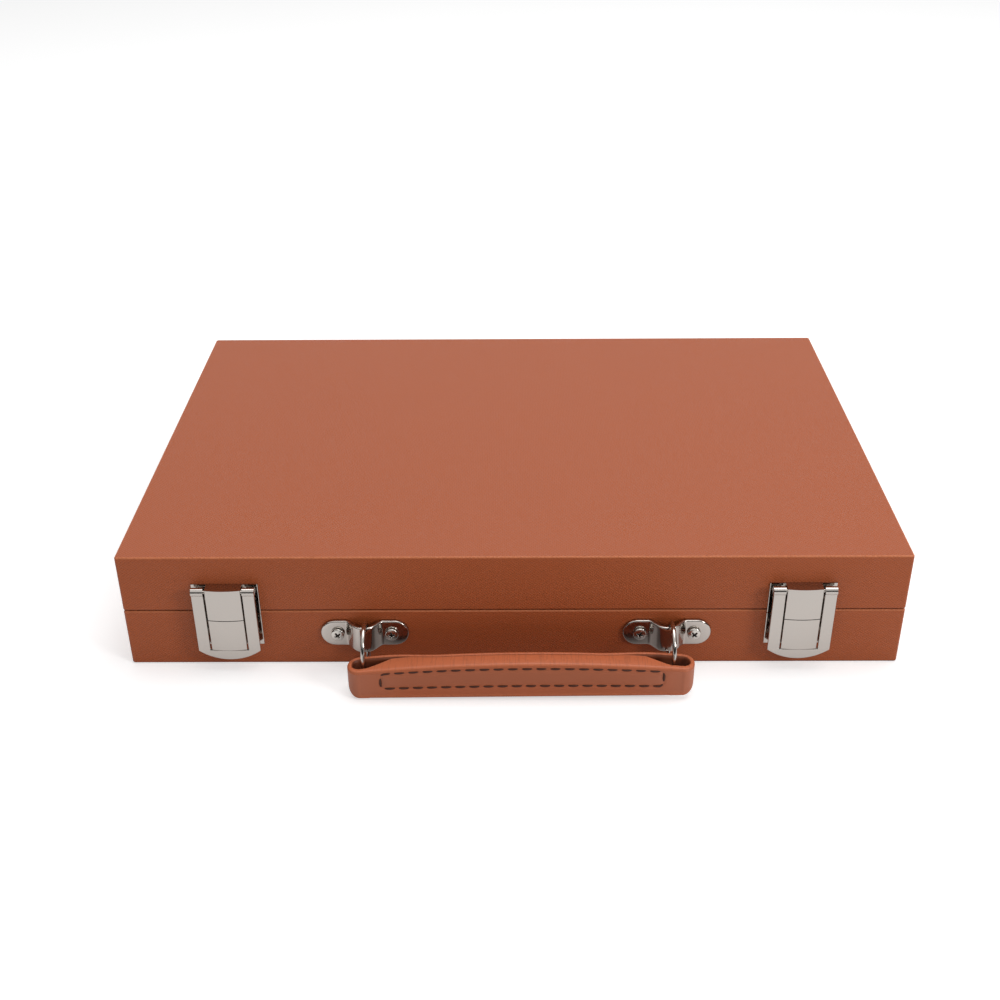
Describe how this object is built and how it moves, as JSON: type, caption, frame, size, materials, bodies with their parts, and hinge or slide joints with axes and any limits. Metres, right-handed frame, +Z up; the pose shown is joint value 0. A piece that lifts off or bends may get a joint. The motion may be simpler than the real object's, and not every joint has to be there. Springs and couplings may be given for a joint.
{
  "type": "travel backgammon set",
  "caption": "Hinged flat case covered in leatherette, with snap hasps, a leather handle on wire rings, and a backgammon board, checkers, dice and cups inside.",
  "frame": {"origin": "middle of the flat underside of the shut case", "axes": "+X to the right along the long side, +Y to the hinged back, +Z up out of the lid"},
  "size_m": [0.38, 0.2892, 0.0624],
  "materials": {
    "leatherette": "cross-grain, satin",
    "handle_leather": "smooth leather, satin",
    "handle_core": "fibre core",
    "fibreboard": "raw fibreboard",
    "lining": "suede",
    "divider": "satin",
    "field": "felt",
    "points_dark": "smooth, matte",
    "points_light": "smooth, matte",
    "cup_leather": "satin",
    "cup_lining": "felt",
    "checker_dark": "polished",
    "checker_light": "polished",
    "nickel": "polished nickel plate",
    "hinge_metal": "nickel plated steel",
    "screw_steel": "nickel plated steel"
  },
  "bodies": {
    "base": {"base_bottom_cover": "leatherette", "base_wrap": "leatherette", "base_panel": "fibreboard", "base_wall_front": "fibreboard", "base_wall_back": "fibreboard", "base_wall_left": "fibreboard", "base_wall_right": "fibreboard", "base_lining": "lining", "base_divider": "divider", "base_field": "field", "base_points_dark": "points_dark", "base_points_light": "points_light", "hinge_leaves_base": "hinge_metal", "hinge_pins": "hinge_metal", "hinge_screws_base": "screw_steel", "hasp_left_base_plate": "nickel", "hasp_right_base_plate": "nickel", "hasp_screws_base": "screw_steel", "handle_bracket_left": "nickel", "handle_bracket_right": "nickel", "bracket_screws": "screw_steel", "checkers_dark": "checker_dark", "checkers_light": "checker_light", "dice_cup_left": "cup_leather", "dice_cup_right": "cup_leather", "dice_cup_left_lining": "cup_lining", "dice_cup_right_lining": "cup_lining", "dice_light": "checker_light", "dice_dark": "checker_dark", "doubling_cube": "checker_light"},
    "lid": {"lid_cover": "leatherette", "lid_panel": "fibreboard", "lid_wall_front": "fibreboard", "lid_wall_back": "fibreboard", "lid_wall_left": "fibreboard", "lid_wall_right": "fibreboard", "lid_lining": "lining", "lid_divider": "divider", "lid_field": "field", "lid_points_dark": "points_dark", "lid_points_light": "points_light", "hinge_leaves_lid": "hinge_metal", "hinge_screws_lid": "screw_steel", "hasp_left_lid_plate": "nickel", "hasp_right_lid_plate": "nickel", "hasp_left_pin": "nickel", "hasp_right_pin": "nickel", "hasp_screws_lid": "screw_steel"},
    "hasp_left": {"hasp_left_frame": "nickel"},
    "hasp_right": {"hasp_right_frame": "nickel"},
    "ring_left": {"handle_ring_left": "nickel"},
    "ring_right": {"handle_ring_right": "nickel"},
    "handle": {"handle_strap": "handle_leather", "handle_core": "handle_core"}
  },
  "joints": [
    {"name": "lid_hinge", "type": "hinge", "parent": "base", "child": "lid", "pos_m": [0, 0.12875, 0.0316], "axis": [-1, 0, 0], "range_deg": [0, 180]},
    {"name": "hasp_left_swing", "type": "hinge", "parent": "lid", "child": "hasp_left", "pos_m": [-0.1389, -0.13335, 0.046], "axis": [-1, 0, 0], "range_deg": [0, 110]},
    {"name": "hasp_right_swing", "type": "hinge", "parent": "lid", "child": "hasp_right", "pos_m": [0.1389, -0.13335, 0.046], "axis": [-1, 0, 0], "range_deg": [0, 110]},
    {"name": "ring_left_swing", "type": "hinge", "parent": "base", "child": "ring_left", "pos_m": [-0.07155, -0.1413, 0.0192], "axis": [-1, 0, 0], "range_deg": [0, 110]},
    {"name": "ring_right_swing", "type": "hinge", "parent": "base", "child": "ring_right", "pos_m": [0.0761, -0.1413, 0.0192], "axis": [-1, 0, 0], "range_deg": [0, 110]},
    {"name": "handle_tilt", "type": "hinge", "parent": "ring_left", "child": "handle", "pos_m": [-0.07155, -0.1413, 0.01285], "axis": [1, 0, 0], "range_deg": [0, 90]}
  ],
  "couplings": [
    {"joint": "ring_right_swing", "follows": "ring_left_swing", "ratio": 1}
  ]
}
